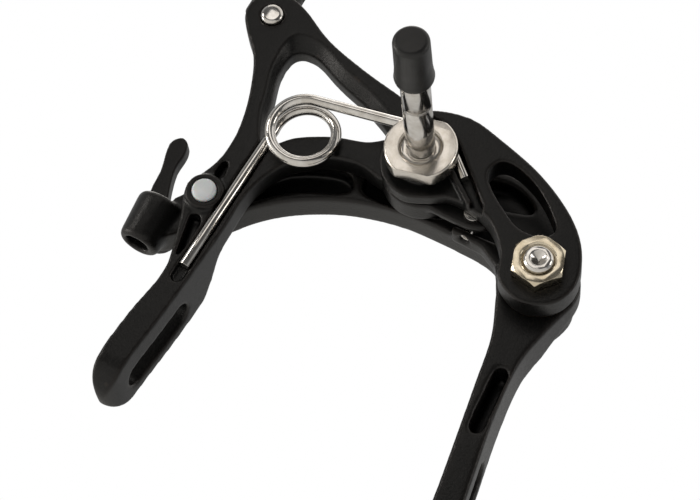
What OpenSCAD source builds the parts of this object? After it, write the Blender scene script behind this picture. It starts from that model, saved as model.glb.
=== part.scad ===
// Dual-pivot rim brake caliper. Millimetres, upright as on the bicycle:
// +Z up (cable side), -Y towards the bicycle's frame, +X to the right when
// seen from that side. The origin is on the mounting stud's axis, at the
// seating face of the flange nut.

/* [Mounting stud] */
// Diameter of the mounting stud
stud_d = 6; // [5:0.5:6.5]
// Length of the stud behind the flange nut
stud_len = 36; // [28:1:44]
// Outer diameter of the flange nut
nut_d = 15; // [14:0.5:15.5]
// Thickness of the flange nut
nut_t = 3.4; // [3:0.2:4]
// Distance across the flange nut's two flats
nut_flats = 13; // [12:0.5:14]
// Length of the rubber cap on the stud's end
cap_len = 13.8; // [12:0.2:16]

/* [Bracket] */
// Thickness of the bracket plate
bracket_t = 6; // [5:0.5:6]
// Depth of the spring channel in the bracket's rear face
channel_depth = 2.7; // [2.6:0.1:3]
// Place of the side pivot, to the right of the stud
side_x = 32.4; // [31.5:0.1:33.5]
// Place of the side pivot, below the stud
side_drop = 12.4; // [11.5:0.1:13]
// Radius of the bracket's boss round the side pivot
side_boss_r = 8.3; // [8:0.1:9]

/* [Arms] */
// Radius of the C-arm's boss round the centre bolt
centre_boss_r = 8.6; // [8.4:0.1:8.8]
// Thickness of the C-arm's frame
c_arm_t = 6; // [5:0.5:6]
// Depth of both arms at their pad slots
leg_depth = 15; // [13:0.5:16]
// Overall length of a pad slot
slot_len = 20.3; // [16:0.1:21]
// Width of a pad slot
slot_w = 6.5; // [6:0.1:7]
// Thickness of the Y-arm's arch
arch_t = 7.6; // [6:0.2:8]

/* [Return spring] */
// Diameter of the spring wire
wire_d = 2.3; // [2:0.1:2.3]
// Mean radius of the spring's coil
coil_r = 6.8; // [6:0.1:7]

/* [Cable parts] */
// Diameter of the cable hole through the Y-arm's end
cable_hole_d = 5.2; // [4:0.1:5.4]
// Outer diameter of the barrel adjuster's thread
barrel_d = 6; // [6:0.5:7]
// Diameter of the adjusting knob
knob_d = 11; // [10:0.5:12]

/* [Hidden] */
$fn = 64;
RUN = 0.04;      // radial clearance of a running fit
GAP = 0.5;       // gap between two parts that pass each other
EPS = 0.01;

BLACK = [0.13, 0.13, 0.135];
CHROME = [0.80, 0.81, 0.83];
ZINC = [0.80, 0.77, 0.70];
BRONZE = [0.66, 0.50, 0.30];
NYLON = [0.90, 0.91, 0.92];
RUBBER = [0.06, 0.06, 0.065];

// Levels along Y, from the mounting face to the front
bracket_y = nut_t;
bracket_front = bracket_y + bracket_t;
c_y = bracket_front + GAP;
c_front = c_y + c_arm_t;
arch_y = c_front + GAP;
arch_front = arch_y + arch_t;
leg_front = c_y + leg_depth;
y_rear = bracket_front + 2 * GAP;
channel_y = bracket_y + channel_depth;
wire_y = channel_y - wire_d / 2 - 0.1;
slot_y = c_y + leg_depth * 0.6;

// Places in the plane of the arms, as [x, z]
SIDE = [side_x, -side_drop];
STOP_PIN = [-46.7, 19.4];
GUIDE_PLUG = [-37.9, -24.6];
CONTACT = [13.9, -4.4];
ANCHOR = [-48, -31];
COIL = [-25.5, -4.5];

// Places seen from above, as [x, y]
CABLE = [-48, 18.2];
ADJUSTER = [-52.4, 20.6];
SCREW = [13.9, 14.2];

// ---- shared helpers ---------------------------------------------------

// A point on a closed smooth curve through the points p (Catmull-Rom).
function spline_at(p, i, t) =
    let (n = len(p), a = p[(i + n - 1) % n], b = p[i], c = p[(i + 1) % n],
         d = p[(i + 2) % n])
    0.5 * (2 * b + (c - a) * t + (2 * a - 5 * b + 4 * c - d) * t * t
           + (3 * b - a - 3 * c + d) * t * t * t);

// The closed curve itself, with s steps between two points.
function smooth(p, s = 5) =
    [for (i = [0:len(p) - 1]) for (k = [0:s - 1]) spline_at(p, i, k / s)];

// Stands a flat [x, z] shape up in the arms' plane, from y0 to y1.
module plate(y0, y1) {
    translate([0, y1, 0]) rotate([90, 0, 0]) linear_extrude(y1 - y0)
        children();
}

// A round bar along Y from y0 to y1 at [x, z].
module bar_y(at, r, y0, y1) {
    translate([at[0], y1, at[1]]) rotate([90, 0, 0])
        cylinder(h = y1 - y0, r = r);
}

// A cone along Y, radius r0 at y0 and r1 at y1.
module cone_y(at, r0, r1, y0, y1) {
    translate([at[0], y1, at[1]]) rotate([90, 0, 0])
        cylinder(h = y1 - y0, r1 = r1, r2 = r0);
}

// A ring along Y.
module ring_y(at, r, bore, y0, y1) {
    difference() {
        bar_y(at, r, y0, y1);
        bar_y(at, bore, y0 - 1, y1 + 1);
    }
}

// A hexagonal prism along Y, size across flats.
module hex_y(at, across, y0, y1, turn = 0) {
    translate([at[0], y1, at[1]]) rotate([90, 0, 0]) rotate([0, 0, turn])
        cylinder(h = y1 - y0, d = across / cos(30), $fn = 6);
}

// A straight groove with round ends between two [x, z] points.
module groove(a, b, w, y0, y1) {
    d = b - a;
    length = norm(d);
    translate([a[0], y1, a[1]]) rotate([90, 0, 0])
        rotate([0, 0, atan2(d[1], d[0])]) linear_extrude(y1 - y0) {
            translate([0, -w / 2]) square([length, w]);
            circle(d = w);
            translate([length, 0]) circle(d = w);
        }
}

// A slot through an arm's leg along X, for the pad's bolt.
module pad_slot(x0, x1, z_top) {
    translate([x0, slot_y, z_top - slot_w / 2]) rotate([0, 90, 0])
        linear_extrude(x1 - x0) {
            circle(d = slot_w);
            translate([0, -slot_w / 2]) square([slot_len - slot_w, slot_w]);
            translate([slot_len - slot_w, 0]) circle(d = slot_w);
        }
}

// ---- mounting stud ----------------------------------------------------

stud_front = c_front - 0.2;
head_t = 2.6;
head_r = 5.6;
shoulder_r = 4;
neck_r = stud_d / 2 - 0.3;
ring_seat = nut_t - 1.4;

module centre_bolt() {
    tip = 1;
    color(CHROME) difference() {
        union() {
            bar_y([0, 0], stud_d / 2, -stud_len + tip, 0);
            cone_y([0, 0], stud_d / 2 - 0.7, stud_d / 2, -stud_len, -stud_len + tip);
            bar_y([0, 0], neck_r, -EPS, ring_seat);
            bar_y([0, 0], shoulder_r, ring_seat, stud_front);
            bar_y([0, 0], head_r, stud_front - head_t, stud_front);
        }
        ring_y([0, 0], stud_d, stud_d / 2 - 0.25, -17.2, -16.6);
        hex_y([0, 0], 5, stud_front - 2.2, stud_front + 1);
    }
}

module stud_cap() {
    cap_end = stud_len + 3.3;
    cap_start = cap_end - cap_len;
    color(RUBBER) difference() {
        rotate([90, 0, 0]) rotate_extrude() polygon(concat(
            [[0, cap_start]],
            [for (a = [-80:20:20]) [2.6 + 1.4 * cos(a), cap_start + 1.5 * (1 + sin(a))]],
            [[3.7, cap_start + 4.6]],
            [for (a = [0:15:90]) [2.6 + cos(a), cap_end - 1 + sin(a)]],
            [[0, cap_end]]));
        bar_y([0, 0], stud_d / 2 + RUN, -stud_len - RUN, 1);
    }
}

module flange_nut() {
    flats_turn = 11.3;
    edge = 0.3;
    color(CHROME) difference() {
        intersection() {
            union() {
                bar_y([0, 0], nut_d / 2, edge, nut_t);
                cone_y([0, 0], nut_d / 2 - edge, nut_d / 2, 0, edge);
            }
            rotate([0, -flats_turn, 0]) translate([-nut_d, -1, -nut_flats / 2])
                cube([2 * nut_d, nut_t + 2, nut_flats]);
        }
        bar_y([0, 0], shoulder_r + RUN, -1, nut_t + 1);
        cone_y([0, 0], shoulder_r + 0.6, shoulder_r, -EPS, 0.6);
    }
}

module nut_lock_ring() {
    color(CHROME) ring_y([0, 0], shoulder_r, neck_r + RUN, 0.6, ring_seat);
}

// ---- bracket ----------------------------------------------------------

module bracket_outline() {
    polygon(smooth([
        [-8.6, 1.5], [-7.4, 6.2], [-3, 10.2], [5, 12], [13, 10.2], [23.8, 6.4],
        [33, 0.8], [38.4, -5.2], [40.7, -12.4], [38.4, -18.2], [32.4, -20.7],
        [26.4, -18.1], [24.1, -12.6], [19.4, -7.6], [13.6, -5.4], [8.6, -5.2],
        [5, -7], [0, -8.7], [-5.2, -7], [-8.2, -3],
    ]));
}

module kidney_window() {
    polygon(smooth([
        [14.0, 2.4], [15.2, 5.6], [19, 5.8], [24.6, 3.4], [29.6, -0.6],
        [31.9, -3.8], [29.8, -6.2], [25.0, -6.4], [20.6, -4.0], [16.4, -0.9],
    ], 4));
}

// The lower floor round the stud, in which the spring's wire lies.
module channel_floor() {
    polygon([
        [-14, -16], [-14, 9.4], [-3.2, 9.4], [1.5, 8.6], [6.2, 5.2],
        [16.5, -5], [18.8, -16],
    ]);
}

module bracket() {
    rib = [[5.0, 1.2], [13.4, -5.4]];
    color(BLACK) difference() {
        union() {
            difference() {
                plate(bracket_y, bracket_front) bracket_outline();
                plate(bracket_y - 1, channel_y) channel_floor();
            }
            bar_y([0, 0], 5.25, bracket_y, channel_y + 1);
            groove(rib[0], rib[1], 1.1, bracket_y + 0.5, channel_y + 1);
        }
        plate(bracket_y - 1, bracket_front + 1) kidney_window();
        bar_y([0, 0], shoulder_r + RUN, bracket_y - 1, bracket_front + 1);
        bar_y(SIDE, stud_d / 2 + RUN, bracket_y - 1, bracket_front + 1);
    }
}

module rear_thrust_washer() {
    color(BRONZE) ring_y([0, 0], 7.4, shoulder_r + RUN, bracket_front, c_y);
}

module front_thrust_washer() {
    seat = stud_front - head_t;
    color(BRONZE) ring_y([0, 0], head_r, shoulder_r + RUN, seat - GAP, seat);
}

// ---- side pivot -------------------------------------------------------

side_seat = arch_front + GAP;
pivot_r = 4;

module side_pivot_bolt() {
    end_y = -0.5;
    color(CHROME) difference() {
        union() {
            bar_y(SIDE, stud_d / 2, end_y + 0.5, bracket_front);
            cone_y(SIDE, stud_d / 2 - 0.5, stud_d / 2, end_y, end_y + 0.5);
            bar_y(SIDE, pivot_r, bracket_front, side_seat);
            bar_y(SIDE, 5.6, side_seat, side_seat + 2.6);
            cone_y(SIDE, 5.6, 4.8, side_seat + 2.6, side_seat + 3.2);
        }
        cone_y(SIDE, 1.7, 0.1, end_y - EPS, end_y + 1.5);
        hex_y(SIDE, 4, side_seat + 0.8, side_seat + 4);
    }
}

module side_pivot_locknut() {
    color(ZINC) difference() {
        intersection() {
            hex_y(SIDE, 10, 0.1, bracket_y, -12);
            cone_y(SIDE, 5.1, 8.6, 0.1, bracket_y);
        }
        bar_y(SIDE, stud_d / 2 + RUN, -1, bracket_y + 1);
        cone_y(SIDE, 3.7, 3.0, 0.1 - EPS, 0.7);
    }
}

module side_rear_washer() {
    color(BRONZE) ring_y(SIDE, 7.4, pivot_r + RUN, bracket_front, y_rear);
}

module side_front_washer() {
    color(BRONZE) ring_y(SIDE, 5.4, pivot_r + RUN, arch_front, side_seat);
}

// ---- return spring ----------------------------------------------------

// The wire's path: from its end by the bracket's rib, over the stud's boss,
// along to the coil, one turn and a quarter down to the C-arm, and along the
// leg.
wrap_r = 5.25 + wire_d / 2 + 0.1;
coil_turns = 1.25;
coil_from = 96;
coil_drop = 5.24;
wire_leg_y = wire_y + coil_drop;
wire_groove_y = wire_leg_y + wire_d / 2 + 0.1;
function spring_path() = concat(
    [[10.2, wire_y, -0.6]],
    [for (a = [48:12:96]) [wrap_r * cos(a), wire_y, wrap_r * sin(a)]],
    [[-10, wire_y, 4.9], [-18, wire_y, 3.6]],
    [for (t = [0:1 / 24:1.0001])
        let (a = coil_from + 360 * coil_turns * t)
        [COIL[0] + coil_r * cos(a), wire_y + coil_drop * t, COIL[1] + coil_r * sin(a)]],
    [[-32.65, wire_leg_y, -16], [-33, wire_leg_y, -28], [-33.3, wire_leg_y, -41]]
);

function unit(v) = v / norm(v);

// A round wire swept along a path, with n sides.
module wire(path, d, n = 10) {
    m = len(path);
    tangents = [for (i = [0:m - 1])
        unit(path[min(i + 1, m - 1)] - path[max(i - 1, 0)])];
    rings = [for (i = [0:m - 1])
        let (side = unit(cross(tangents[i], [0, 1, 0.02])), up = cross(side, tangents[i]))
        for (k = [0:n - 1]) path[i] + d / 2 * (cos(k * 360 / n) * side + sin(k * 360 / n) * up)];
    polyhedron(rings, concat(
        [[for (k = [0:n - 1]) k]],
        [for (i = [0:m - 2]) for (k = [0:n - 1])
            [i * n + k, (i + 1) * n + k, (i + 1) * n + (k + 1) % n, i * n + (k + 1) % n]],
        [[for (k = [n - 1:-1:0]) (m - 1) * n + k]]));
}

module return_spring() {
    color(CHROME) wire(spring_path(), wire_d);
}

// ---- C-arm ------------------------------------------------------------

bush_r = 5;
plug_r = 2.55;
stop_pin_r = 2.5;
contact_r = 1.46;
contact_head_r = 2.2;
tail_t = 2.2;
stop_rear = c_front + 0.2;
stop_front = stop_rear + 5.4;

// The triangular window between the stop pin, the centre and the leg.
WINDOW = [
    [-35.4, -3.2], [-37, 2.2], [-38.9, 8.8], [-38.3, 14.2], [-33.8, 15.1],
    [-26.3, 11.9], [-17.1, 8.6], [-10.8, 4.9], [-13, 1.7], [-20.6, -0.6],
    [-27.8, -4.4], [-32.2, -8.4],
];
// The same window where its slope meets the rear face.
WINDOW_REAR = [
    [-36.9, -3.4], [-38.7, 2.4], [-40.6, 9.2], [-40.2, 17], [-34, 18],
    [-25.6, 14.4], [-16.2, 11], [-8.8, 6.2], [-12.8, 1.2], [-20.4, -1.1],
    [-27.6, -4.9], [-32.6, -9.6],
];
window_slope = 2.4;

module c_frame_outline() {
    difference() {
        union() {
            polygon(smooth([
                [-51.6, 16.2], [-45.3, 8.6], [-41, -1.4], [-39.1, -10.4],
                [-39.6, -17.2], [-42.2, -24.8], [-39.9, -31.2], [-37.6, -38.6],
                [-36.6, -44.4], [-38.1, -54.6], [-38.9, -64.6], [-38.2, -69.8],
                [-35.6, -72.2], [-33.2, -69], [-32.6, -62], [-31.6, -52],
                [-30.8, -40.4], [-30.2, -30], [-30, -20.4], [-27, -12.4],
                [-22.2, -7.6], [-17.4, -5.4], [-12.6, -4.6], [-7, -5.6],
                [0, -6], [5, 0], [0, 8], [-7, 12], [-12.8, 13.8], [-22.2, 16],
                [-32.5, 19.3], [-40.6, 23.8], [-46, 25.4], [-51.4, 23],
            ]));
            translate(STOP_PIN) circle(r = 6);
        }
        polygon(smooth(WINDOW));
    }
}

// A solid between two outlines of as many points, from y0 to y1.
module loft(rear, front, y0, y1) {
    n = len(rear);
    polyhedron(
        concat([for (p = rear) [p[0], y0, p[1]]], [for (p = front) [p[0], y1, p[1]]]),
        concat(
            [[for (k = [0:n - 1]) k], [for (k = [n - 1:-1:0]) n + k]],
            [for (k = [0:n - 1]) [k, n + k, n + (k + 1) % n]],
            [for (k = [0:n - 1]) [k, n + (k + 1) % n, (k + 1) % n]]));
}

// How deep the C-arm is at each height: thin where the Y-arm passes in
// front of it, deep round the pad slot, with a round tip.
module c_depth() {
    grow_top = -30.2;
    grow_len = 11.8;
    tip_z = -72.2;
    tip_r = leg_depth / 2;
    translate([-60, 0, 0]) rotate([90, 0, 90]) linear_extrude(90) polygon(concat(
        [[c_y, 40], [c_front, 40]],
        [for (t = [0:0.1:1.001])
            [c_front + (leg_front - c_front) * (1 - cos(180 * t)) / 2, grow_top - grow_len * t]],
        [for (a = [0:-15:-180]) [c_y + tip_r + tip_r * cos(a), tip_z + tip_r + tip_r * sin(a)]]));
}

module c_arm() {
    tail_y = c_y + 0.1;
    color(BLACK) difference() {
        union() {
            intersection() {
                plate(c_y, leg_front) c_frame_outline();
                c_depth();
            }
            bar_y([0, 0], centre_boss_r, c_y, c_front);
            bar_y(GUIDE_PLUG, 4.1, c_y - 1.2, c_front);
            plate(tail_y, tail_y + tail_t) polygon(smooth([
                [-4, -6], [4, -7.2], [10, -7.6], [14.6, -7.6], [18, -6],
                [17.6, -2.2], [12, 0.4], [8.4, 3], [4, 7], [-2, 2],
            ], 4));
        }
        loft(smooth(WINDOW_REAR), smooth(WINDOW), c_y - EPS, c_y + window_slope);
        bar_y([0, 0], bush_r + RUN, c_y - 1, c_front + 1);
        bar_y([0, 0], head_r + 0.6, stud_front - head_t - GAP, c_front + 1);
        bar_y(GUIDE_PLUG, plug_r + 0.05, c_y - 3, c_y + 4);
        bar_y(STOP_PIN, stop_pin_r + RUN, c_y - 1, c_front + 1);
        bar_y(CONTACT, contact_r + RUN, c_y - 1, c_front + 1);
        plate(c_y - 1, c_y + 3) polygon(smooth([
            [-38.5, -19.6], [-38.1, -16], [-36.9, -17], [-36.6, -20]], 4));
        plate(c_y - 1, c_y + 3.4) polygon([
            [-38.2, -30], [-36.4, -29.4], [-35.2, -31], [-35.3, -37], [-36, -40.6]]);
        groove([-32.4, -7], [-33.4, -43.6], wire_d + 0.3, c_y - 1, wire_groove_y);
        pad_slot(-45, -25, -45.4);
    }
}

module centre_bush() {
    color(BRONZE) ring_y([0, 0], bush_r, shoulder_r + RUN, c_y, stud_front - head_t - GAP);
}

module spring_guide_plug() {
    color(NYLON) {
        bar_y(GUIDE_PLUG, plug_r, c_y - 1.5, c_y + 3.5);
        cone_y(GUIDE_PLUG, plug_r - 0.45, plug_r, c_y - 1.9, c_y - 1.5);
    }
}

module contact_pin() {
    plate_front = c_y + 0.1 + tail_t;
    color(CHROME) {
        bar_y(CONTACT, contact_r, c_y, plate_front);
        bar_y(CONTACT, 2, bracket_front + 0.1, c_y + 0.1);
        bar_y(CONTACT, contact_head_r, plate_front, c_front);
    }
}

module stop_pin() {
    color(CHROME) {
        cone_y(STOP_PIN, 1.9, stop_pin_r, c_y - 1, c_y - 0.5);
        bar_y(STOP_PIN, stop_pin_r, c_y - 0.5, stop_front + 1.4);
    }
}

module stop_pin_clip() {
    color(ZINC) ring_y(STOP_PIN, 3.3, stop_pin_r + RUN, stop_front + 0.1, stop_front + 0.7);
}

// ---- cable stop and barrel adjuster -----------------------------------

boss_bottom = 22.8;
boss_top = 29;
knob_bottom = boss_top + 1.2;
knob_top = knob_bottom + 6.6;

// Places things on the barrel adjuster's axis at a height.
module at_adjuster(z) {
    translate([ADJUSTER[0], ADJUSTER[1], z]) children();
}

module cable_stop() {
    boss_r = ADJUSTER[1] - stop_rear;
    color(BLACK) difference() {
        union() {
            bar_y(STOP_PIN, 3.8, stop_rear, stop_front);
            at_adjuster(boss_bottom) cylinder(h = boss_top - boss_bottom, r = boss_r);
            plate(stop_rear, stop_front) polygon([
                [-54.4, boss_bottom + 0.2], [-49.4, 17], [-45, 16.6], [-43.6, 21.6],
                [-47.6, 26.8], [-54.4, 26.8]]);
        }
        bar_y(STOP_PIN, stop_pin_r + RUN, stop_rear - 1, stop_front + 1);
        at_adjuster(boss_bottom - 6) cylinder(h = 20, r = barrel_d / 2 + RUN);
    }
}

module adjuster_barrel() {
    flare = 5;
    color(BLACK) difference() {
        union() {
            at_adjuster(boss_bottom + 0.4) cylinder(h = knob_top - boss_bottom - 0.4, r = barrel_d / 2);
            at_adjuster(knob_top) cylinder(h = flare, r1 = 3.6, r2 = 3.9);
        }
        at_adjuster(boss_bottom - 1) cylinder(h = 30, r = 1.2);
        at_adjuster(knob_top - 3) cylinder(h = flare + 4, r = 2.6);
    }
}

module adjuster_knob() {
    teeth = 16;
    color(BLACK) difference() {
        at_adjuster(knob_bottom) cylinder(h = knob_top - knob_bottom - 0.1, r = knob_d / 2);
        at_adjuster(knob_bottom - 1) cylinder(h = 10, r = barrel_d / 2 + RUN);
        for (k = [0:teeth - 1])
            at_adjuster(knob_bottom + 1) rotate([0, 0, k * 360 / teeth])
                translate([knob_d / 2 + 0.35, 0]) cylinder(h = 4.6, r = 0.8, $fn = 16);
    }
}

module adjuster_ring() {
    color(RUBBER) difference() {
        at_adjuster(boss_top) cylinder(h = 0.9, r = 4.2);
        at_adjuster(boss_top - 1) cylinder(h = 3, r = barrel_d / 2 + RUN);
    }
}

// ---- Y-arm ------------------------------------------------------------

step_y = arch_y + 0.6;
screw_r = 1.1;
barrel_r = 2.9;

module arch_outline() {
    polygon(smooth([
        [38.9, -9], [39.6, -13.4], [37.4, -18.6], [32.6, -20.2], [27, -18],
        [23, -11.2], [18.6, -8.6], [8, -7.8], [-1.8, -8], [-12.6, -10.4],
        [-22.2, -14.9], [-29.2, -20.2], [-34, -25.8], [-39.2, -30.6],
        [-43, -34.4], [-47, -35.8], [-50.6, -34.2], [-51.6, -31],
        [-50.2, -28.2], [-46.6, -26.4], [-42.6, -21], [-38, -13], [-31, -6],
        [-22, -1.4], [-10, 1.6], [0, 4], [8, 8], [14.4, 10.1], [21, 9],
        [27.2, 5.6], [32, 1.4], [36.2, -3.8],
    ]));
}

module right_leg_outline() {
    polygon(smooth([
        [40, -10], [40.4, -14.6], [38.5, -21.6], [36.9, -30], [37.6, -42],
        [39.8, -56], [41.2, -66], [40.8, -73.6], [37.6, -76], [34.8, -73],
        [34.8, -64], [33.2, -52], [31, -38], [29.2, -27], [25.8, -18],
        [23.8, -11], [26.6, -5.4], [33, -3.6],
    ]));
}

// How deep the Y-arm's leg is at each height, with a round tip.
module y_depth() {
    tip_z = -76;
    tip_r = leg_depth / 2;
    translate([10, 0, 0]) rotate([90, 0, 90]) linear_extrude(50) polygon(concat(
        [[y_rear, 10], [step_y, 10], [step_y, -14], [arch_front - 2.4, -22],
         [arch_front - 1.6, -30], [leg_front - 0.9, -38], [leg_front, -45]],
        [for (a = [0:-15:-180]) [c_y + tip_r + tip_r * cos(a), tip_z + tip_r + tip_r * sin(a)]],
        [[c_y, -50], [y_rear, -30]]));
}

// The upright boss that the cable is led through.
module cable_boss() {
    bottom = -38.2;
    top = -27.2;
    low_r = 4.3;
    high_r = 5.4;
    edge = 1.2;
    translate([CABLE[0] + 0.2, CABLE[1] + 0.2, 0]) rotate_extrude() polygon(concat(
        [[0, bottom]],
        [for (a = [-90:18:0]) [low_r - edge + 0.3 + edge * cos(a), bottom + edge + edge * sin(a)]],
        [for (a = [0:18:90]) [high_r - edge + edge * cos(a), top - edge + edge * sin(a)]],
        [[0, top]]));
}

module y_arm() {
    pocket_y = arch_y + 4.2;
    lug_y = c_y + 3;
    color(BLACK) difference() {
        union() {
            plate(arch_y, arch_front) arch_outline();
            intersection() {
                plate(c_y, leg_front) right_leg_outline();
                y_depth();
            }
            bar_y(SIDE, 8.5, y_rear, step_y - 0.4);
            bar_y(SIDE, 7.3, y_rear + 1, arch_front);
            cable_boss();
            plate(lug_y, arch_y + 1) polygon([
                [10.7, -8.9], [17.6, -9.1], [22.2, -11.6], [26, -17.6], [29, -11],
                [25, -6.6], [18.6, -7.2], [10.7, -7.2]]);
        }
        bar_y(SIDE, bush_r + RUN, y_rear - 1, arch_front + 1);
        bar_y(ANCHOR, barrel_r + RUN, CABLE[1] - 3.6, arch_front + 3);
        translate([CABLE[0], CABLE[1], -45]) cylinder(h = 30, d = cable_hole_d);
        translate([SCREW[0], SCREW[1], -20]) cylinder(h = 30, r = screw_r + RUN);
        plate(arch_y - 1, pocket_y) polygon(smooth([
            [-13.6, -8.4], [-24, -13.4], [-32.4, -20.4], [-34.4, -17.6], [-27.4, -8.6], [-16.6, -4.4]], 4));
        plate(arch_y - 1, pocket_y) polygon(smooth([
            [-9.6, -7.4], [6, -5.6], [8, -0.8], [-2, 0.4], [-11.4, -2]], 4));
        plate(arch_y - 1, pocket_y) polygon(smooth([
            [9.6, 2.6], [10.6, 6.2], [15.4, 8], [20.6, 6.8], [23.4, 4.2], [19.6, 2.6], [14.4, 1.6]], 4));
        groove([34.7, -33.6], [35.4, -45.4], 2.9, c_y - 1, c_y + 7);
        pad_slot(28, 48, -49.2);
    }
}

module side_bush() {
    color(BRONZE) ring_y(SIDE, bush_r, pivot_r + RUN, y_rear, arch_front);
}

module centring_screw() {
    bottom = -8.3;
    top = CONTACT[1] - contact_head_r - 0.05;
    color(CHROME) translate([SCREW[0], SCREW[1], 0]) difference() {
        translate([0, 0, bottom]) cylinder(h = top - bottom, r = screw_r);
        translate([0, 0, bottom - 1]) cylinder(h = 2.3, d = 1.1 / cos(30), $fn = 6);
    }
}

// ---- cable anchor and quick release -----------------------------------

lever_y = arch_front + 0.4;
lever_t = 3.4;
bolt_r = 2;
recess_y = lever_y + 1.3;

module quick_release_lever() {
    hub_r = 4;
    color(BLACK) difference() {
        union() {
            bar_y(ANCHOR, hub_r, lever_y, lever_y + lever_t);
            plate(lever_y, lever_y + lever_t) polygon(smooth([
                [-51.8, -31.4], [-54.4, -27], [-54.4, -24.6], [-54.9, -21.6], [-55.2, -18],
                [-56.6, -13], [-56.6, -10.6], [-55, -9], [-53.2, -9.8], [-52.4, -12.4],
                [-52.4, -16.4], [-50.9, -21.4], [-49.3, -24.4], [-45.6, -28], [-48, -33]]));
        }
        bar_y(ANCHOR, bolt_r + RUN, lever_y - 1, lever_y + 6);
        bar_y(ANCHOR, 3.3, recess_y, lever_y + 6);
    }
}

module anchor_barrel() {
    rear = CABLE[1] - 3.5;
    color(CHROME) difference() {
        bar_y(ANCHOR, barrel_r, rear, lever_y);
        translate([CABLE[0], CABLE[1] - 0.8, -40]) cylinder(h = 16, r = 1);
        bar_y(ANCHOR, bolt_r + RUN, CABLE[1] + 1.2, arch_front + 2);
    }
}

module anchor_bolt() {
    head_y = recess_y + 0.4;
    color(ZINC) difference() {
        union() {
            bar_y(ANCHOR, bolt_r, CABLE[1] + 1.4, head_y);
            bar_y(ANCHOR, 2.9, head_y, head_y + 1.4);
            cone_y(ANCHOR, 2.9, 2.5, head_y + 1.4, head_y + 1.7);
        }
        hex_y(ANCHOR, 2.5, head_y + 0.4, head_y + 4);
    }
}

module anchor_washer() {
    color(ZINC) ring_y(ANCHOR, 3.2, bolt_r + RUN, recess_y, recess_y + 0.4);
}

module lever_wave_washer() {
    color(BRONZE) ring_y(ANCHOR, 3.9, barrel_r + RUN, arch_front, lever_y);
}

// ---- assembly ---------------------------------------------------------

centre_bolt();
stud_cap();
flange_nut();
nut_lock_ring();
bracket();
rear_thrust_washer();
front_thrust_washer();
side_pivot_bolt();
side_pivot_locknut();
side_rear_washer();
side_front_washer();
return_spring();
c_arm();
centre_bush();
spring_guide_plug();
contact_pin();
stop_pin();
stop_pin_clip();
cable_stop();
adjuster_barrel();
adjuster_knob();
adjuster_ring();
y_arm();
side_bush();
centring_screw();
quick_release_lever();
anchor_barrel();
anchor_bolt();
anchor_washer();
lever_wave_washer();
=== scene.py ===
"""Rim brake caliper: the visible pieces and finishes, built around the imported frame.

Everything is in metres in the frame's own axes: +Z up, -Y along the mounting
stud, +X to the right seen from the stud's side.
"""

import logging
import math
from dataclasses import dataclass, field
from enum import Enum

import bpy
from mathutils import Matrix, Vector

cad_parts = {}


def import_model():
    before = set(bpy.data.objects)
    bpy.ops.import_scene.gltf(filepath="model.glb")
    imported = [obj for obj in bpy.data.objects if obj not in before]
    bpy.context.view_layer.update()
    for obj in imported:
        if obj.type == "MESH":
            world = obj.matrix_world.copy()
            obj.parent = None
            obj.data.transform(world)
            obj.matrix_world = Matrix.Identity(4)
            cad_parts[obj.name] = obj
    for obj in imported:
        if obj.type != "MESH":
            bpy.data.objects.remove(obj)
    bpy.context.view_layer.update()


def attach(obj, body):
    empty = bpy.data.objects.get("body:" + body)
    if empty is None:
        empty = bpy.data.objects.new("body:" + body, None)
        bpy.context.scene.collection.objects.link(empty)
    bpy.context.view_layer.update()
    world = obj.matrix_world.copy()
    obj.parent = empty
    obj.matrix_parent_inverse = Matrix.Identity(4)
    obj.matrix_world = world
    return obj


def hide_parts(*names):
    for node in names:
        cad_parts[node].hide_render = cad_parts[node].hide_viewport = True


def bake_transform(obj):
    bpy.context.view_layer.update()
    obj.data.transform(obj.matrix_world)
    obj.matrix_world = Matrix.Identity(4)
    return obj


LOG = logging.getLogger("caliper")
MM = 0.001
FLAT_DEG = 0.6  # faces that turn less than this count as one flat
EDGE_DEG = 38  # edges that turn more than this get broken
NOISE_FALL = 0.55  # how much of each finer octave a noise keeps


class Body(Enum):
    """The caliper's rigid bodies."""

    BRACKET = "mounting_bracket"
    CAP = "cap"
    C_ARM = "c_arm"
    Y_ARM = "y_arm"
    STOP = "cable_stop"
    BARREL = "adjuster_barrel"
    KNOB = "adjuster_knob"
    SCREW = "centring_screw"
    RELEASE = "quick_release"


class Slot(Enum):
    """The record's material slots."""

    BLACK = "black_anodised_alloy"
    CHROME = "chromed_steel"
    ZINC = "zinc_plated_steel"
    BRONZE = "bronze"
    NYLON = "white_nylon"
    RUBBER = "black_rubber"
    PLASTIC = "black_plastic"


# ---- small mesh tools --------------------------------------------------


def linear(code: str) -> tuple[float, float, float, float]:
    """Turns an sRGB hex value such as "1b1b1c" to linear colour.

    Args:
        code: six hex digits.

    Returns:
        Red, green, blue and alpha 1, linear.
    """
    parts = [int(code[i:i + 2], 16) / 255 for i in (0, 2, 4)]
    return (*(c / 12.92 if c <= 0.04045 else ((c + 0.055) / 1.055) ** 2.4 for c in parts), 1.0)


def only(obj: bpy.types.Object) -> bpy.types.Object:
    """Makes an object the only selected one, and the active one.

    Args:
        obj: the object to work on.

    Returns:
        The same object.
    """
    if bpy.context.object and bpy.context.object.mode != "OBJECT":
        bpy.ops.object.mode_set(mode="OBJECT")
    for other in bpy.context.selected_objects:
        other.select_set(False)
    bpy.context.view_layer.objects.active = obj
    obj.select_set(True)
    return obj


def apply_modifier(obj: bpy.types.Object, kind: str, **settings: object) -> None:
    """Adds a modifier with its settings and applies it.

    Args:
        obj: the object it goes on.
        kind: the modifier's type.
        **settings: its properties.
    """
    only(obj)
    modifier = obj.modifiers.new(kind.lower(), kind)
    for name, value in settings.items():
        setattr(modifier, name, value)
    bpy.ops.object.modifier_apply(modifier=modifier.name)


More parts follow.
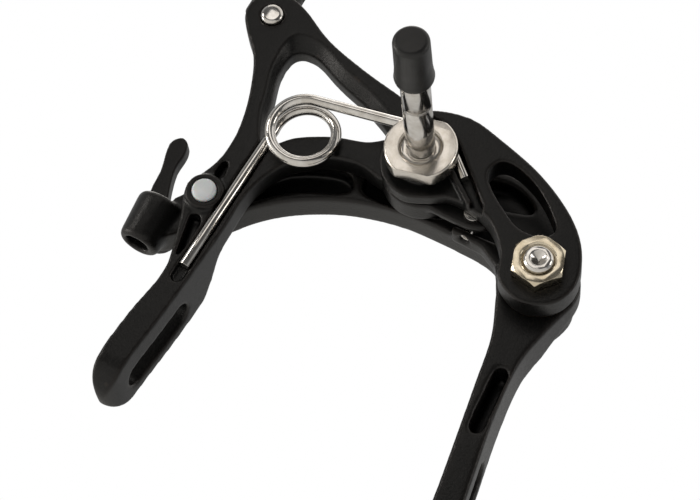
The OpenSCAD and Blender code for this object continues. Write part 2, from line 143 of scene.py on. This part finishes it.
def copy_of(node: str, name: str) -> bpy.types.Object:
    """Copies a frame node's mesh into a new object with its seams closed.

    Args:
        node: the frame node.
        name: the new piece's name.

    Returns:
        The new object.
    """
    source = bpy.data.objects[node]
    piece = bpy.data.objects.new(name, source.data.copy())
    bpy.context.scene.collection.objects.link(piece)
    piece.data.materials.clear()
    only(piece)
    bpy.ops.object.mode_set(mode="EDIT")
    bpy.ops.mesh.select_all(action="SELECT")
    bpy.ops.mesh.remove_doubles(threshold=0.002 * MM)
    bpy.ops.mesh.dissolve_degenerate(threshold=0.001 * MM)
    bpy.ops.mesh.customdata_custom_splitnormals_clear()
    bpy.ops.object.mode_set(mode="OBJECT")
    return piece


def smooth_shade(obj: bpy.types.Object, degrees: float = 35) -> None:
    """Shades a piece smooth, with edges sharper than an angle kept crisp."""
    only(obj)
    bpy.ops.object.shade_smooth_by_angle(angle=math.radians(degrees))


def machined(node: str, name: str, edge_mm: float, segments: int = 2) -> bpy.types.Object:
    """Copies a turned or milled node and breaks its sharp edges.

    Args:
        node: the frame node.
        name: the new piece's name.
        edge_mm: width of the broken edge.
        segments: steps across it.

    Returns:
        The new object.
    """
    piece = copy_of(node, name)
    bpy.ops.object.mode_set(mode="EDIT")
    bpy.ops.mesh.select_all(action="SELECT")
    bpy.ops.mesh.dissolve_limited(angle_limit=math.radians(FLAT_DEG))
    bpy.ops.object.mode_set(mode="OBJECT")
    apply_modifier(piece, "BEVEL", width=edge_mm * MM, segments=segments, limit_method="ANGLE",
                   angle_limit=math.radians(EDGE_DEG), use_clamp_overlap=True)
    smooth_shade(piece)
    return piece


def forged(node: str, name: str, grid_mm: float, rounds: int) -> bpy.types.Object:
    """Copies a forged node with the soft edges and fillets that a die leaves.

    Args:
        node: the frame node.
        name: the new piece's name.
        grid_mm: size of the grid that the shape is redrawn on.
        rounds: how often it is relaxed; more gives larger fillets.

    Returns:
        The new object.
    """
    piece = copy_of(node, name)
    apply_modifier(piece, "REMESH", mode="VOXEL", voxel_size=grid_mm * MM, adaptivity=0.0)
    apply_modifier(piece, "SMOOTH", factor=0.5, iterations=rounds)
    only(piece)
    bpy.ops.object.shade_smooth()
    return piece


def hand_over(piece: bpy.types.Object, body: Body, slot: Slot, finish: "Finish", *nodes: str) -> None:
    """Gives a finished piece its material and body, and hides the nodes it stands for.

    Args:
        piece: the finished piece.
        body: the body that it rides on.
        slot: the record's material slot; not used.
        finish: its finish.
        *nodes: the frame nodes that it replaces.
    """
    piece.data.materials.clear()
    piece.data.materials.append(finish.material())
    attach(piece, body.value)
    if nodes:
        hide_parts(*nodes)
    LOG.info("%s: %d faces on %s", piece.name, len(piece.data.polygons), body.value)


# ---- finishes ----------------------------------------------------------


def shader(tree: bpy.types.NodeTree, kind: str, settings: dict | None = None,
           links: dict | None = None, stops: tuple[tuple[float, str], ...] = (),
           **inputs: object) -> bpy.types.Node:
    """Adds a node with its settings, input values, colour stops and links.

    Args:
        tree: the material's node tree.
        kind: the node's type.
        settings: properties of the node itself.
        links: input name or number to (node, output name or number).
        stops: a colour ramp's places from 0 to 1, with sRGB hex values.
        **inputs: input values, with _ for a space in the input's name.

    Returns:
        The new node.
    """
    node = tree.nodes.new(kind)
    for name, value in (settings or {}).items():
        setattr(node, name, value)
    for name, value in inputs.items():
        node.inputs[name.replace("_", " ")].default_value = value
    for element, (place, code) in zip(node.color_ramp.elements if stops else (), stops):
        element.position = place
        element.color = linear(code)
    for name, (source, output) in (links or {}).items():
        tree.links.new(source.outputs[output], node.inputs[name])
    return node


@dataclass(frozen=True)
class Finish:
    """A surface finish; each kind draws its own nodes."""

    name: str

    def material(self) -> bpy.types.Material:
        """Draws the finish's material, once.

        Returns:
            The material, the same one each time.
        """
        known = bpy.data.materials.get(self.name)
        if known:
            return known
        made = bpy.data.materials.new(self.name)
        made.use_nodes = True
        tree = made.node_tree
        tree.nodes.clear()
        coords = shader(tree, "ShaderNodeTexCoord")
        surface = self.draw(tree, coords)
        shader(tree, "ShaderNodeOutputMaterial", links={"Surface": (surface, "BSDF")})
        return made

    def draw(self, tree: bpy.types.NodeTree, coords: bpy.types.Node) -> bpy.types.Node:
        """Draws the finish; each kind does it its own way.

        Args:
            tree: the material's node tree.
            coords: its texture coordinate node.

        Returns:
            The Principled node.
        """
        raise NotImplementedError


@dataclass(frozen=True)
class AnodisedForging(Finish):
    """Forged aluminium, bead blasted and anodised black.

    The blasting leaves a fine even tooth that spreads highlights into a soft
    sheen; the dye is a near-black, and a warm brown painted highlight lies
    on sharp edges, broken up by a cloud.
    """

    dye: str = "070707"
    # Colour of the painted warm highlight on sharp edges.
    painted_edge_highlight: str = "2a2420"
    # Taken as about 0.1 mm on real blasting; drawn coarser so that it shows.
    tooth_mm: float = 0.42
    tooth_height_mm: float = 0.09
    cloud_mm: float = 6.0
    roughness: float = 0.34

    def draw(self, tree: bpy.types.NodeTree, coords: bpy.types.Node) -> bpy.types.Node:
        """Draws the dyed, blasted surface.

        Args:
            tree: the material's node tree.
            coords: its texture coordinate node.

        Returns:
            The Principled node.
        """
        at = {"Vector": (coords, "Object")}
        tooth = shader(tree, "ShaderNodeTexNoise", links=at, Scale=1 / (self.tooth_mm * MM), Detail=3,
                       Roughness=NOISE_FALL)
        cloud = shader(tree, "ShaderNodeTexNoise", links=at, Scale=1 / (self.cloud_mm * MM), Detail=3,
                       Roughness=NOISE_FALL)
        # Painted highlight: sharp edges, broken up by a cloud, are tinted warm brown to stand in for
        # the light they catch.
        geometry = shader(tree, "ShaderNodeNewGeometry")
        edge = shader(tree, "ShaderNodeMapRange", links={"Value": (geometry, "Pointiness")},
                      From_Min=0.5, From_Max=0.58, To_Min=0.0, To_Max=1.0)
        painted_highlight_mask = shader(tree, "ShaderNodeMath", {"operation": "MULTIPLY"},
                       {0: (edge, "Result"), 1: (cloud, "Fac")})
        colour = shader(tree, "ShaderNodeValToRGB", links={"Fac": (painted_highlight_mask, 0)},
                        stops=((0.0, self.dye), (0.8, self.painted_edge_highlight)))
        gloss = shader(tree, "ShaderNodeMapRange", links={"Value": (tooth, "Fac")},
                       From_Min=0.3, From_Max=0.7, To_Min=self.roughness - 0.05,
                       To_Max=self.roughness + 0.07)
        bump = shader(tree, "ShaderNodeBump", links={"Height": (tooth, "Fac")},
                      Strength=0.6, Distance=self.tooth_height_mm * MM)
        return shader(tree, "ShaderNodeBsdfPrincipled",
                      links={"Base Color": (colour, "Color"), "Roughness": (gloss, "Result"),
                             "Normal": (bump, "Normal")}, Metallic=0.0, IOR=1.5,
                      Specular_IOR_Level=0.3)


@dataclass(frozen=True)
class Plating(Finish):
    """Plated steel: bright chrome, nickel or zinc, drawn by its colour, gloss and marks.

    Fine scratches run along one axis of the work, and a faint cloud of dulled
    plate breaks the reflections.
    """

    colour: str = "dcdad7"
    dulled: str = "c4c0ba"
    roughness: float = 0.09
    spread: float = 0.06
    mark_mm: float = 0.3
    stretch: tuple[float, float, float] = (1, 1, 1)
    mark_height_mm: float = 0.002
    cloud_mm: float = 3.0

    def draw(self, tree: bpy.types.NodeTree, coords: bpy.types.Node) -> bpy.types.Node:
        """Draws the plated surface.

        Args:
            tree: the material's node tree.
            coords: its texture coordinate node.

        Returns:
            The Principled node.
        """
        drawn_out = shader(tree, "ShaderNodeMapping", links={"Vector": (coords, "Object")},
                           Scale=self.stretch)
        marks = shader(tree, "ShaderNodeTexNoise", links={"Vector": (drawn_out, "Vector")},
                       Scale=1 / (self.mark_mm * MM), Detail=4, Roughness=NOISE_FALL)
        cloud = shader(tree, "ShaderNodeTexNoise", links={"Vector": (coords, "Object")},
                       Scale=1 / (self.cloud_mm * MM), Detail=3, Roughness=NOISE_FALL)
        colour = shader(tree, "ShaderNodeValToRGB", links={"Fac": (cloud, "Fac")},
                        stops=((0.35, self.dulled), (0.62, self.colour)))
        gloss = shader(tree, "ShaderNodeMapRange", links={"Value": (marks, "Fac")},
                       From_Min=0.35, From_Max=0.7, To_Min=self.roughness,
                       To_Max=self.roughness + self.spread)
        bump = shader(tree, "ShaderNodeBump", links={"Height": (marks, "Fac")},
                      Strength=0.4, Distance=self.mark_height_mm * MM)
        return shader(tree, "ShaderNodeBsdfPrincipled",
                      links={"Base Color": (colour, "Color"), "Roughness": (gloss, "Result"),
                             "Normal": (bump, "Normal")}, Metallic=1.0)


@dataclass(frozen=True)
class Moulding(Finish):
    """Moulded plastic or rubber: an even colour with a fine moulded tooth."""

    colour: str = "1c1c1d"
    shade: str = "141415"
    roughness: float = 0.55
    tooth_mm: float = 0.3
    tooth_height_mm: float = 0.01
    ior: float = 1.5
    glow: float = 0.0
    cloud_mm: float = 2.5

    def draw(self, tree: bpy.types.NodeTree, coords: bpy.types.Node) -> bpy.types.Node:
        """Draws the moulded surface.

        Args:
            tree: the material's node tree.
            coords: its texture coordinate node.

        Returns:
            The Principled node.
        """
        at = {"Vector": (coords, "Object")}
        tooth = shader(tree, "ShaderNodeTexNoise", links=at, Scale=1 / (self.tooth_mm * MM), Detail=3,
                       Roughness=NOISE_FALL)
        cloud = shader(tree, "ShaderNodeTexNoise", links=at, Scale=1 / (self.cloud_mm * MM), Detail=2,
                       Roughness=NOISE_FALL)
        colour = shader(tree, "ShaderNodeValToRGB", links={"Fac": (cloud, "Fac")},
                        stops=((0.3, self.shade), (0.7, self.colour)))
        gloss = shader(tree, "ShaderNodeMapRange", links={"Value": (cloud, "Fac")},
                       From_Min=0.3, From_Max=0.7, To_Min=self.roughness - 0.05,
                       To_Max=self.roughness + 0.05)
        bump = shader(tree, "ShaderNodeBump", links={"Height": (tooth, "Fac")},
                      Strength=0.4, Distance=self.tooth_height_mm * MM)
        return shader(tree, "ShaderNodeBsdfPrincipled",
                      links={"Base Color": (colour, "Color"), "Roughness": (gloss, "Result"),
                             "Normal": (bump, "Normal")},
                      Metallic=0.0, IOR=self.ior, Subsurface_Weight=self.glow,
                      Subsurface_Scale=1.5 * MM)


# Blasted and dyed forging: a soft satin sheen that breaks up into grain.
ANODISED = AnodisedForging("black_anodised_forging")
# Turned and dyed bar: smoother, so its highlights are narrower.
ANODISED_TURNED = AnodisedForging("black_anodised_turning", tooth_mm=0.15, tooth_height_mm=0.004,
                                  roughness=0.3)
# Polished chrome: mirror-like, with bright and dark bands along the wire.
CHROME = Plating("polished_chrome_wire")
# Chromed steel bar: the same, with marks drawn along the stud.
STUD_CHROME = Plating("chromed_stud", roughness=0.12, stretch=(1, 8, 1), mark_mm=0.5)
# Satin nickel plate: a warm pale face with blurred reflections.
NICKEL = Plating("satin_nickel_nut", "dcd7d0", "cec8bf", 0.2, 0.07, 0.16, (1, 6, 1), 0.0015)
# Zinc plate: yellowish, brighter where an edge catches the light.
ZINC = Plating("zinc_plated_nut", "dfd5c0", "cbbfa7", 0.17, 0.08, 0.2, (1, 1, 1), 0.002)
# Sintered bronze: brown and dull, from its open pores.
BRONZE = Plating("sintered_bronze", "a5824f", "7c5e36", 0.42, 0.15, 0.12, (1, 1, 1), 0.01)
# Moulded rubber: near black, with a broad dim highlight.
RUBBER = Moulding("moulded_rubber", "0c0c0c", "090909", 0.42, 0.35, 0.008)
# Natural nylon: milky, since light spreads inside it.
NYLON = Moulding("natural_nylon", "dfe3e6", "d2d8dc", 0.38, 0.5, 0.003, 1.53, 0.2)
# Moulded plastic: dark, with a fine tooth.
PLASTIC = Moulding("moulded_plastic", "1f1f20", "18181a", 0.42, 0.25, 0.01, 1.49)


# ---- sub-assemblies ----------------------------------------------------


@dataclass
class Forgings:
    """The forged and blasted black parts: bracket, both arms, cable stop and lever."""

    # Node, body, grid in millimetres, and rounds of relaxing: more gives larger fillets.
    parts: tuple[tuple[str, Body, float, int], ...] = (
        ("bracket", Body.BRACKET, 0.26, 12),
        ("c_arm", Body.C_ARM, 0.3, 24),
        ("y_arm", Body.Y_ARM, 0.36, 24),
        ("cable_stop", Body.STOP, 0.22, 12),
        ("quick_release_lever", Body.RELEASE, 0.22, 16),
    )

    def build(self) -> None:
        """Builds every forged part."""
        for node, body, grid, rounds in self.parts:
            piece = forged(node, f"{node}_forging", grid, rounds)
            hand_over(piece, body, Slot.BLACK, ANODISED, node)


@dataclass
class MountingStud:
    """The stud with its nut, lock ring and rubber cap."""

    edge_mm: float = 0.25

    def build(self) -> None:
        """Builds the stud's pieces."""
        stud = machined("centre_bolt", "mounting_stud", 0.15)
        hand_over(stud, Body.BRACKET, Slot.CHROME, STUD_CHROME, "centre_bolt")
        nut = machined("flange_nut", "seat_nut", self.edge_mm, 3)
        hand_over(nut, Body.BRACKET, Slot.CHROME, NICKEL, "flange_nut")
        ring = machined("nut_lock_ring", "lock_ring", 0.12)
        hand_over(ring, Body.BRACKET, Slot.CHROME, NICKEL, "nut_lock_ring")
        cap = machined("stud_cap", "rubber_cap", 0.3, 3)
        hand_over(cap, Body.CAP, Slot.RUBBER, RUBBER, "stud_cap")


@dataclass
class ReturnSpring:
    """The wire that opens the arms: a round wire with one coil of a turn and a quarter.

    The sizes repeat those of the frame's spring, which scene pieces can't read.
    """

    wire_mm: float = 2.3
    coil_mm: float = 6.8
    centre: tuple[float, float] = (-25.5, -4.5)
    first_y: float = 4.85
    turns: float = 1.25
    drop_mm: float = 5.24
    start_deg: float = 96.0
    neck_radius_mm: float = 5.25
    neck_gap_mm: float = 0.1
    coil_steps: int = 90
    end_round_mm: float = 0.2
    bend_from: tuple[float, float, float] = (-0.020, 0.0052, 0.0)
    bend_to: tuple[float, float, float] = (-0.0333, 0.0100, -0.022)

    def route(self) -> list[tuple[float, float, float]]:
        """Lays out the wire's centreline, from the bracket to the leg.

        Returns:
            Its points in millimetres.
        """
        wrap = self.neck_radius_mm + self.wire_mm / 2 + self.neck_gap_mm
        points = [(10.2, self.first_y, -0.6)]
        for degrees in range(48, 97, 8):
            a = math.radians(degrees)
            points.append((wrap * math.cos(a), self.first_y, wrap * math.sin(a)))
        points += [(-10.0, self.first_y, 4.9), (-18.0, self.first_y, 3.6)]
        for k in range(self.coil_steps + 1):
            t = k / self.coil_steps
            a = math.radians(self.start_deg + 360 * self.turns * t)
            points.append((self.centre[0] + self.coil_mm * math.cos(a), self.first_y + self.drop_mm * t,
                           self.centre[1] + self.coil_mm * math.sin(a)))
        last_y = self.first_y + self.drop_mm
        points += [(-32.65, last_y, -16.0), (-33.0, last_y, -28.0), (-33.3, last_y, -41.0)]
        return points

    def build(self) -> None:
        """Sweeps the wire and bends it between the bracket and the C-arm."""
        bpy.ops.curve.primitive_nurbs_path_add()
        wire = bpy.context.object
        wire.name = "return_spring_wire"
        curve = wire.data
        curve.splines.clear()
        route = self.route()
        spline = curve.splines.new("POLY")
        spline.points.add(len(route) - 1)
        for point, place in zip(spline.points, route):
            point.co = (*(c * MM for c in place), 1)
        curve.dimensions = "3D"
        curve.bevel_depth = self.wire_mm / 2 * MM
        curve.bevel_resolution = 8
        curve.use_fill_caps = True
        only(wire)
        bpy.ops.object.convert(target="MESH")
        bpy.ops.object.mode_set(mode="EDIT")
        bpy.ops.mesh.select_all(action="SELECT")
        bpy.ops.mesh.remove_doubles(threshold=0.001 * MM)
        bpy.ops.mesh.normals_make_consistent(inside=False)
        bpy.ops.object.mode_set(mode="OBJECT")
        apply_modifier(wire, "BEVEL", width=self.end_round_mm * MM, segments=3, limit_method="ANGLE",
                       angle_limit=math.radians(50))
        smooth_shade(wire, 40)
        wire.data.materials.clear()
        wire.data.materials.append(CHROME.material())
        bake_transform(wire)
        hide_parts("return_spring")
        LOG.info("%s: %d faces", wire.name, len(wire.data.polygons))


@dataclass
class SmallParts:
    """The machined and moulded small parts that keep their frame shape, with broken edges."""

    parts: tuple[tuple[str, Body, Slot, Finish, float], ...] = field(default_factory=lambda: (
        ("rear_thrust_washer", Body.BRACKET, Slot.BRONZE, BRONZE, 0.08),
        ("front_thrust_washer", Body.BRACKET, Slot.BRONZE, BRONZE, 0.08),
        ("side_pivot_bolt", Body.BRACKET, Slot.CHROME, STUD_CHROME, 0.15),
        ("side_pivot_locknut", Body.BRACKET, Slot.ZINC, ZINC, 0.22),
        ("side_rear_washer", Body.BRACKET, Slot.BRONZE, BRONZE, 0.08),
        ("side_front_washer", Body.BRACKET, Slot.BRONZE, BRONZE, 0.08),
        ("centre_bush", Body.C_ARM, Slot.BRONZE, BRONZE, 0.08),
        ("spring_guide_plug", Body.C_ARM, Slot.NYLON, NYLON, 0.2),
        ("contact_pin", Body.C_ARM, Slot.CHROME, STUD_CHROME, 0.15),
        ("stop_pin", Body.C_ARM, Slot.CHROME, CHROME, 0.3),
        ("stop_pin_clip", Body.C_ARM, Slot.ZINC, ZINC, 0.08),
        ("adjuster_ring", Body.STOP, Slot.RUBBER, RUBBER, 0.2),
        ("adjuster_barrel", Body.BARREL, Slot.BLACK, ANODISED_TURNED, 0.15),
        ("adjuster_knob", Body.KNOB, Slot.PLASTIC, PLASTIC, 0.2),
        ("side_bush", Body.Y_ARM, Slot.BRONZE, BRONZE, 0.08),
        ("lever_wave_washer", Body.Y_ARM, Slot.BRONZE, BRONZE, 0.05),
        ("centring_screw", Body.SCREW, Slot.CHROME, STUD_CHROME, 0.08),
        ("anchor_barrel", Body.RELEASE, Slot.CHROME, STUD_CHROME, 0.12),
        ("anchor_bolt", Body.RELEASE, Slot.ZINC, ZINC, 0.1),
        ("anchor_washer", Body.RELEASE, Slot.ZINC, ZINC, 0.06),
    ))

    def build(self) -> None:
        """Builds every small part."""
        for node, body, slot, finish, edge in self.parts:
            hand_over(machined(node, f"{node}_piece", edge), body, slot, finish, node)


# ---- studio ------------------------------------------------------------


@dataclass
class Studio:
    """Camera, soft lights, pale floor and surroundings."""

    azimuth: float = 17.2297
    elevation: float = -21.5245
    roll: float = 30.7437
    distance: float = 0.4132792
    target: tuple[float, float, float] = (-0.0015689, 0.0, -0.0270367)
    lens: float = 108.0
    floor_z: float = -0.42
    bright_side: float = 0.5
    light_colour: tuple[float, float, float] = (1.0, 0.95, 0.89)
    dark_side: float = 0.1
    overhead_m: float = 3.0
    overhead_size: float = 6.0
    overhead_power: float = 70.0
    # Name, place as metres towards the camera, its up and its right, size and watts.
    softboxes: tuple[tuple[str, tuple[float, float, float], float, float], ...] = (
        ("key", (0.25, 0.62, -0.66), 0.2, 1.1),
        ("front", (0.46, 0.64, -0.10), 0.34, 0.42),
        ("side", (0.3, 0.15, 0.75), 0.25, 0.6),
        ("low", (0.30, -0.72, -0.10), 0.25, 0.7),
        ("left", (0.05, 0.10, -0.82), 0.28, 2.0),
        ("rear", (-0.7, 0.6, 0.0), 0.5, 1.5),
    )

    def directions(self) -> tuple[Vector, Vector, Vector]:
        """Works out the camera's own directions.

        Returns:
            Unit vectors towards the camera, to its right and up.
        """
        az, el, roll = (math.radians(a) for a in (self.azimuth, self.elevation, self.roll))
        back = Vector((math.sin(az) * math.cos(el), -math.cos(az) * math.cos(el), math.sin(el)))
        side = (-back).cross(Vector((0, 0, 1))).normalized()
        upright = side.cross(-back)
        right = math.cos(roll) * side + math.sin(roll) * upright
        up = -math.sin(roll) * side + math.cos(roll) * upright
        return back, right, up

    def build(self) -> None:
        """Sets up the whole studio."""
        back, right, up = self.directions()
        centre = Vector(self.target)
        self.camera(centre + back * self.distance, right, up, back)
        self.floor()
        self.surroundings()
        for name, (to_back, to_up, to_right), size, power in self.softboxes:
            place = to_back * back + to_up * up + to_right * right
            self.softbox(name, centre + place, centre, size, power)
        self.softbox("overhead", centre + Vector((0, 0, self.overhead_m)), centre, self.overhead_size,
                     self.overhead_power)

    def camera(self, place: Vector, right: Vector, up: Vector, back: Vector) -> None:
        """Places the camera.

        Args:
            place: where it stands.
            right: its right.
            up: its up.
            back: the direction from the caliper to it.
        """
        data = bpy.data.cameras.new("camera")
        data.lens = self.lens
        data.sensor_width = 36
        data.clip_start = 0.01
        data.clip_end = 20
        camera = bpy.data.objects.new("camera", data)
        turn = Matrix((right, up, back)).transposed().to_4x4()
        camera.matrix_world = Matrix.Translation(place) @ turn
        bpy.context.scene.collection.objects.link(camera)
        bpy.context.scene.camera = camera

    def softbox(self, name: str, place: Vector, centre: Vector, size: float, power: float) -> None:
        """Adds a square soft light that faces the caliper.

        Args:
            name: the light's name.
            place: where it stands.
            centre: what it faces.
            size: its side length.
            power: its power in watts.
        """
        data = bpy.data.lights.new(name, "AREA")
        data.shape = "SQUARE"
        data.size = size
        data.energy = power
        data.color = self.light_colour
        light = bpy.data.objects.new(name, data)
        light.location = place
        light.rotation_mode = "QUATERNION"
        light.rotation_quaternion = (place - centre).to_track_quat("Z", "Y")
        bpy.context.scene.collection.objects.link(light)

    def floor(self) -> None:
        """Lays the plain pale floor well below the caliper, which hangs by its stud."""
        bpy.ops.mesh.primitive_circle_add(vertices=96, radius=3.0, fill_type="NGON",
                                          location=(0, 0, self.floor_z))
        floor = bpy.context.object
        floor.name = "pale_floor"
        finish = Moulding("pale_floor_paint", "f2f2f0", "efefed", 0.7, 2.0, 0.01)
        floor.data.materials.append(finish.material())

    def surroundings(self) -> None:
        """Makes the even pale surroundings, white to the eye and softer as a light."""
        world = bpy.data.worlds.new("pale_studio")
        bpy.context.scene.world = world
        world.use_nodes = True
        tree = world.node_tree
        tree.nodes.clear()
        way = shader(tree, "ShaderNodeTexCoord")
        facing = shader(tree, "ShaderNodeVectorMath", {"operation": "DOT_PRODUCT"},
                        {0: (way, "Generated")})
        facing.inputs[1].default_value = (0, -1, 0)
        level = shader(tree, "ShaderNodeMapRange", {"interpolation_type": "SMOOTHSTEP"},
                       {"Value": (facing, "Value")}, From_Min=-0.1, From_Max=0.9,
                       To_Min=self.bright_side, To_Max=self.dark_side)
        seen = shader(tree, "ShaderNodeBackground", Color=linear("ffffff"), Strength=1.0)
        lit = shader(tree, "ShaderNodeBackground", links={"Strength": (level, "Result")},
                     Color=linear("f7f6f4"))
        path = shader(tree, "ShaderNodeLightPath")
        mix = shader(tree, "ShaderNodeMixShader",
                     links={0: (path, "Is Camera Ray"), 1: (lit, 0), 2: (seen, 0)})
        shader(tree, "ShaderNodeOutputWorld", links={"Surface": (mix, 0)})
        view = bpy.context.scene.view_settings
        view.view_transform = "Standard"


def main() -> None:
    """Builds the caliper's pieces and the studio around them."""
    logging.basicConfig(level=logging.INFO, format="%(name)s: %(message)s")
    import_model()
    Studio().build()
    for assembly in (Forgings(), MountingStud(), ReturnSpring(), SmallParts()):
        assembly.build()
        LOG.info("%s built", type(assembly).__name__)


if __name__ == "__main__":
    main()
